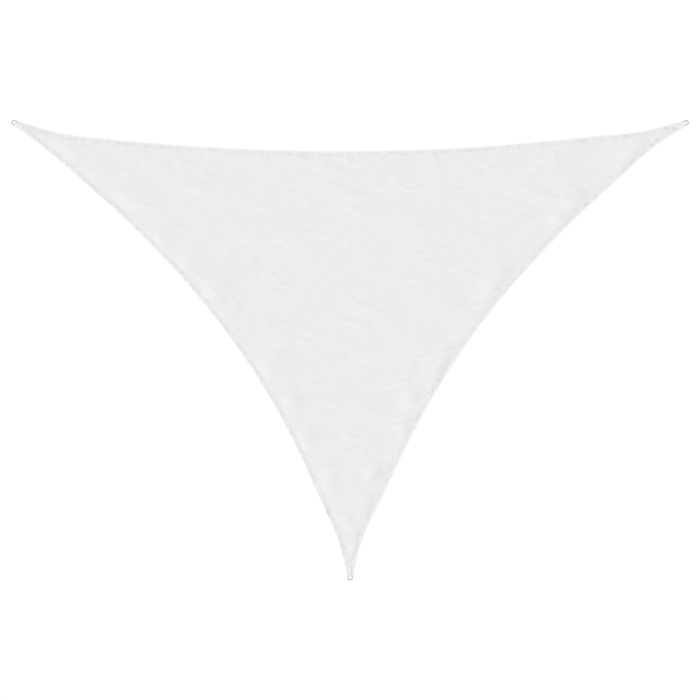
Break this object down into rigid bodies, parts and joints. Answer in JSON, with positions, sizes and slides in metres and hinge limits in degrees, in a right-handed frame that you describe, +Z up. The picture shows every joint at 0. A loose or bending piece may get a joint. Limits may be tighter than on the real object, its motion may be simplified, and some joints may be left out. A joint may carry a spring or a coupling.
{
  "type": "shade sail",
  "caption": "Triangular shade sail laid out flat: hollow-cut sides, a sewn hem, and at each corner a folded webbing tab that holds a steel D-ring.",
  "frame": {"origin": "on the ground, under the middle of the box around the laid-out sail", "axes": "+Z up from the ground, +X along the longest side from the left corner to the right corner, -Y to the foot corner"},
  "size_m": [6.0008, 4.0787, 0.0106],
  "materials": {
    "cloth": "knitted polyethylene, matt",
    "webbing": "woven polyester, matt",
    "steel": "polished stainless steel"
  },
  "bodies": {
    "root": {"sail": "cloth", "tab_left": "webbing", "tab_foot": "webbing", "tab_right": "webbing", "ring_left": "steel", "ring_foot": "steel", "ring_right": "steel"}
  },
  "joints": []
}
